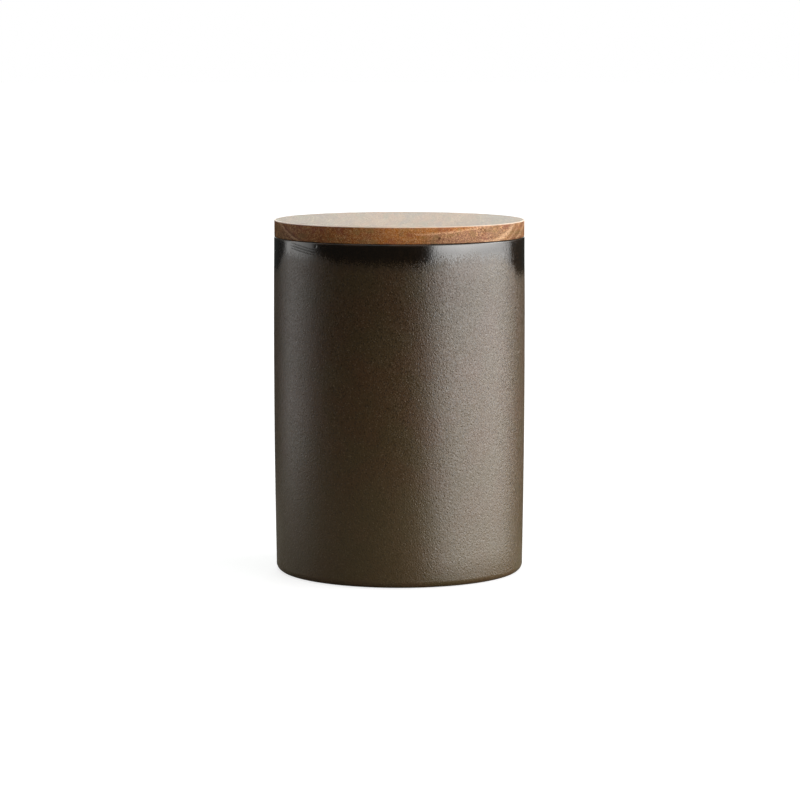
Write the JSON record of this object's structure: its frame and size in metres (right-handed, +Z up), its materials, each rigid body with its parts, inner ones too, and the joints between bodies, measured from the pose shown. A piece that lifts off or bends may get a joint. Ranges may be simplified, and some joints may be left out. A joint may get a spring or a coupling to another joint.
{
  "type": "lidded storage jar",
  "caption": "Near-cylindrical stoneware storage jar in dark olive-brown glaze, with a flat hardwood lid that plugs into the mouth on a silicone seal and lifts off.",
  "frame": {"origin": "centre of the foot ring, on the surface the jar stands on", "axes": "+Z up along the jar's axis, towards the lid; -Y is the side that faces the viewer in the reference view, with the end grain of the lid"},
  "size_m": [0.1404, 0.1404, 0.1967],
  "materials": {
    "glaze": "satin dark olive-brown glaze with a glossier near-black band under the rim",
    "acacia": "oiled hardwood",
    "silicone": "translucent white silicone"
  },
  "bodies": {
    "jar": {"jar_body": "glaze"},
    "seal": {"seal_ring": "silicone"},
    "lid": {"lid_disc": "acacia", "lid_plug": "acacia"}
  },
  "joints": [
    {"name": "lid_lift", "type": "slide", "parent": "jar", "child": "seal", "axis": [0, 0, 1], "range_m": [0, 0.11]},
    {"name": "lid_turn", "type": "hinge", "parent": "seal", "child": "lid", "pos_m": [0, 0, 0.1815], "axis": [0, 0, 1], "continuous": true}
  ]
}
